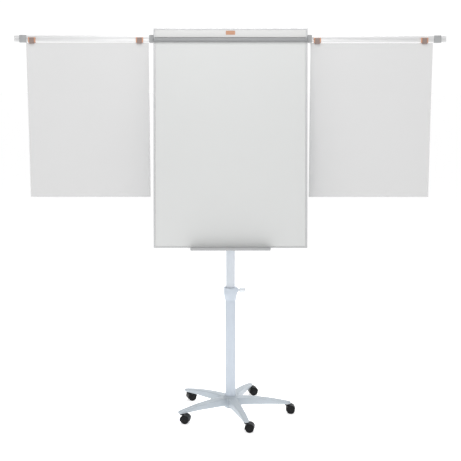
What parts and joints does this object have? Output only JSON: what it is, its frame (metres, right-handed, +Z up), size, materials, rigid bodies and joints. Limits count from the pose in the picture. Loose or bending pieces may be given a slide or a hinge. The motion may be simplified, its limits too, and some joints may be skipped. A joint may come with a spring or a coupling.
{
  "type": "flipchart easel",
  "caption": "Mobile flipchart easel: whiteboard with pad clamp and pen tray, sliding display arms with clipped sheets, telescopic column, star base on castors.",
  "frame": {"origin": "on the floor, on the column's axis, at the middle of the easel's footprint", "axes": "+Z up; +X along the display arms, to the reader's right; the board faces -Y and leans back towards +Y"},
  "size_m": [1.974, 0.5696, 1.8221],
  "materials": {
    "base_powder_coat": "satin powder coat on a casting",
    "powder_coat": "satin powder coat",
    "column_inner": "smooth satin coat",
    "steel_fixings": "zinc-plated",
    "dark_grey_plastic": "fine moulded texture",
    "knob_plastic": "fine moulded texture",
    "whiteboard": "white enamelled steel face on a light core",
    "header_white": "semi-gloss white",
    "badge_orange": "plain orange, no lettering",
    "anodised_aluminium": "satin anodised",
    "clamp_bar_grey": "mid-grey anodised",
    "tray_grey": "mid-grey satin",
    "clip_jaw_dark": "dark moulded",
    "clip_orange": "moulded, satin",
    "paper": "uncoated paper",
    "caster_black": "black nylon",
    "wheel_black": "black nylon and soft tread"
  },
  "bodies": {
    "base": {"star_base": "base_powder_coat", "base_bolt": "steel_fixings", "lower_column": "powder_coat", "guide_bush": "dark_grey_plastic", "clamp_collar": "powder_coat"},
    "knob": {"clamp_knob": "knob_plastic"},
    "board": {"upper_column": "column_inner", "head_bracket": "powder_coat", "bracket_bolt_1": "steel_fixings", "bracket_bolt_2": "steel_fixings", "board_panel": "whiteboard", "header_strip": "header_white", "header_badge": "badge_orange", "frame_left": "anodised_aluminium", "frame_right": "anodised_aluminium", "frame_top": "anodised_aluminium", "frame_bottom": "anodised_aluminium", "clamp_pivot_left": "dark_grey_plastic", "clamp_pivot_right": "dark_grey_plastic", "pad_hook_left": "steel_fixings", "pad_hook_right": "steel_fixings", "pen_tray": "tray_grey", "arm_rail": "anodised_aluminium", "rail_bush_left": "dark_grey_plastic", "rail_bush_right": "dark_grey_plastic"},
    "pad_clamp": {"pad_clamp_bar": "clamp_bar_grey"},
    "arm_left": {"arm_left": "anodised_aluminium", "arm_stop_left": "dark_grey_plastic", "sheet_left": "paper"},
    "arm_right": {"arm_right": "anodised_aluminium", "arm_stop_right": "dark_grey_plastic", "sheet_right": "paper"},
    "clip_left_inner": {"clip_left_inner": "clip_orange"},
    "clip_jaw_left_inner": {"clip_jaw_left_inner": "clip_jaw_dark"},
    "clip_left_outer": {"clip_left_outer": "clip_orange"},
    "clip_jaw_left_outer": {"clip_jaw_left_outer": "clip_jaw_dark"},
    "clip_right_inner": {"clip_right_inner": "clip_orange"},
    "clip_jaw_right_inner": {"clip_jaw_right_inner": "clip_jaw_dark"},
    "clip_right_outer": {"clip_right_outer": "clip_orange"},
    "clip_jaw_right_outer": {"clip_jaw_right_outer": "clip_jaw_dark"},
    "caster_right": {"caster_right_stem": "steel_fixings", "caster_right_hood": "caster_black"},
    "caster_right_wheel_a": {"caster_right_wheel_a": "wheel_black"},
    "caster_right_wheel_b": {"caster_right_wheel_b": "wheel_black"},
    "caster_back_right": {"caster_back_right_stem": "steel_fixings", "caster_back_right_hood": "caster_black"},
    "caster_back_right_wheel_a": {"caster_back_right_wheel_a": "wheel_black"},
    "caster_back_right_wheel_b": {"caster_back_right_wheel_b": "wheel_black"},
    "caster_back_left": {"caster_back_left_stem": "steel_fixings", "caster_back_left_hood": "caster_black"},
    "caster_back_left_wheel_a": {"caster_back_left_wheel_a": "wheel_black"},
    "caster_back_left_wheel_b": {"caster_back_left_wheel_b": "wheel_black"},
    "caster_front_left": {"caster_front_left_stem": "steel_fixings", "caster_front_left_hood": "caster_black"},
    "caster_front_left_wheel_a": {"caster_front_left_wheel_a": "wheel_black"},
    "caster_front_left_wheel_b": {"caster_front_left_wheel_b": "wheel_black"},
    "caster_front": {"caster_front_stem": "steel_fixings", "caster_front_hood": "caster_black"},
    "caster_front_wheel_a": {"caster_front_wheel_a": "wheel_black"},
    "caster_front_wheel_b": {"caster_front_wheel_b": "wheel_black"}
  },
  "joints": [
    {"name": "height_slide", "type": "slide", "parent": "base", "child": "board", "axis": [0, 0, 1], "range_m": [-0.15, 0.15]},
    {"name": "knob_turn", "type": "hinge", "parent": "base", "child": "knob", "pos_m": [0.05, 0, 0.605], "axis": [1, 0, 0], "range_deg": [-180, 360]},
    {"name": "pad_clamp_lift", "type": "hinge", "parent": "board", "child": "pad_clamp", "pos_m": [0, -0.00826, 1.77541], "axis": [-1, 0, 0], "range_deg": [0, 75]},
    {"name": "arm_left_slide", "type": "slide", "parent": "board", "child": "arm_left", "axis": [1, 0, 0], "range_m": [0, 0.28]},
    {"name": "arm_right_slide", "type": "slide", "parent": "board", "child": "arm_right", "axis": [-1, 0, 0], "range_m": [0, 0.28]},
    {"name": "clip_left_inner_slide", "type": "slide", "parent": "arm_left", "child": "clip_left_inner", "axis": [-1, 0, 0], "range_m": [0, 0.3]},
    {"name": "clip_left_inner_jaw", "type": "hinge", "parent": "clip_left_inner", "child": "clip_jaw_left_inner", "pos_m": [-0.415, 0.00834, 1.77892], "axis": [-1, 0, 0], "range_deg": [0, 25], "stiffness_Nm_per_rad": 0.06},
    {"name": "clip_left_outer_slide", "type": "slide", "parent": "arm_left", "child": "clip_left_outer", "axis": [1, 0, 0], "range_m": [0, 0.1]},
    {"name": "clip_left_outer_jaw", "type": "hinge", "parent": "clip_left_outer", "child": "clip_jaw_left_outer", "pos_m": [-0.906, 0.00834, 1.77892], "axis": [-1, 0, 0], "range_deg": [0, 25], "stiffness_Nm_per_rad": 0.06},
    {"name": "clip_right_inner_slide", "type": "slide", "parent": "arm_right", "child": "clip_right_inner", "axis": [1, 0, 0], "range_m": [0, 0.3]},
    {"name": "clip_right_inner_jaw", "type": "hinge", "parent": "clip_right_inner", "child": "clip_jaw_right_inner", "pos_m": [0.397, 0.02008, 1.77696], "axis": [-1, 0, 0], "range_deg": [0, 25], "stiffness_Nm_per_rad": 0.06},
    {"name": "clip_right_outer_slide", "type": "slide", "parent": "arm_right", "child": "clip_right_outer", "axis": [-1, 0, 0], "range_m": [0, 0.1]},
    {"name": "clip_right_outer_jaw", "type": "hinge", "parent": "clip_right_outer", "child": "clip_jaw_right_outer", "pos_m": [0.887, 0.02008, 1.77696], "axis": [-1, 0, 0], "range_deg": [0, 25], "stiffness_Nm_per_rad": 0.06},
    {"name": "caster_right_swivel", "type": "hinge", "parent": "base", "child": "caster_right", "pos_m": [0.27163, -0.01423, 0.046], "axis": [0, 0, 1], "continuous": true},
    {"name": "caster_right_wheel_a_roll", "type": "hinge", "parent": "caster_right", "child": "caster_right_wheel_a", "pos_m": [0.28963, -0.01423, 0.02], "axis": [0, 1, 0], "continuous": true},
    {"name": "caster_right_wheel_b_roll", "type": "hinge", "parent": "caster_right", "child": "caster_right_wheel_b", "pos_m": [0.28963, -0.01423, 0.02], "axis": [0, 1, 0], "continuous": true},
    {"name": "caster_back_right_swivel", "type": "hinge", "parent": "base", "child": "caster_back_right", "pos_m": [0.09748, 0.25393, 0.046], "axis": [0, 0, 1], "continuous": true},
    {"name": "caster_back_right_wheel_a_roll", "type": "hinge", "parent": "caster_back_right", "child": "caster_back_right_wheel_a", "pos_m": [0.11508, 0.25768, 0.02], "axis": [-0.2079, 0.9781, 0], "continuous": true},
    {"name": "caster_back_right_wheel_b_roll", "type": "hinge", "parent": "caster_back_right", "child": "caster_back_right_wheel_b", "pos_m": [0.11508, 0.25768, 0.02], "axis": [-0.2079, 0.9781, 0], "continuous": true},
    {"name": "caster_back_left_swivel", "type": "hinge", "parent": "base", "child": "caster_back_left", "pos_m": [-0.21138, 0.17117, 0.046], "axis": [0, 0, 1], "continuous": true},
    {"name": "caster_back_left_wheel_a_roll", "type": "hinge", "parent": "caster_back_left", "child": "caster_back_left_wheel_a", "pos_m": [-0.19447, 0.17733, 0.02], "axis": [-0.342, 0.9397, 0], "continuous": true},
    {"name": "caster_back_left_wheel_b_roll", "type": "hinge", "parent": "caster_back_left", "child": "caster_back_left_wheel_b", "pos_m": [-0.19447, 0.17733, 0.02], "axis": [-0.342, 0.9397, 0], "continuous": true},
    {"name": "caster_front_left_swivel", "type": "hinge", "parent": "base", "child": "caster_front_left", "pos_m": [-0.22812, -0.14814, 0.046], "axis": [0, 0, 1], "continuous": true},
    {"name": "caster_front_left_wheel_a_roll", "type": "hinge", "parent": "caster_front_left", "child": "caster_front_left_wheel_a", "pos_m": [-0.21073, -0.1528, 0.02], "axis": [0.2588, 0.9659, 0], "continuous": true},
    {"name": "caster_front_left_wheel_b_roll", "type": "hinge", "parent": "caster_front_left", "child": "caster_front_left_wheel_b", "pos_m": [-0.21073, -0.1528, 0.02], "axis": [0.2588, 0.9659, 0], "continuous": true},
    {"name": "caster_front_swivel", "type": "hinge", "parent": "base", "child": "caster_front", "pos_m": [0.0704, -0.26273, 0.046], "axis": [0, 0, 1], "continuous": true},
    {"name": "caster_front_wheel_a_roll", "type": "hinge", "parent": "caster_front", "child": "caster_front_wheel_a", "pos_m": [0.08833, -0.2643, 0.02], "axis": [0.0872, 0.9962, 0], "continuous": true},
    {"name": "caster_front_wheel_b_roll", "type": "hinge", "parent": "caster_front", "child": "caster_front_wheel_b", "pos_m": [0.08833, -0.2643, 0.02], "axis": [0.0872, 0.9962, 0], "continuous": true}
  ],
  "couplings": [
    {"joint": "clip_left_inner_slide", "follows": "arm_left_slide", "ratio": 1},
    {"joint": "clip_right_inner_slide", "follows": "arm_right_slide", "ratio": 1}
  ]
}
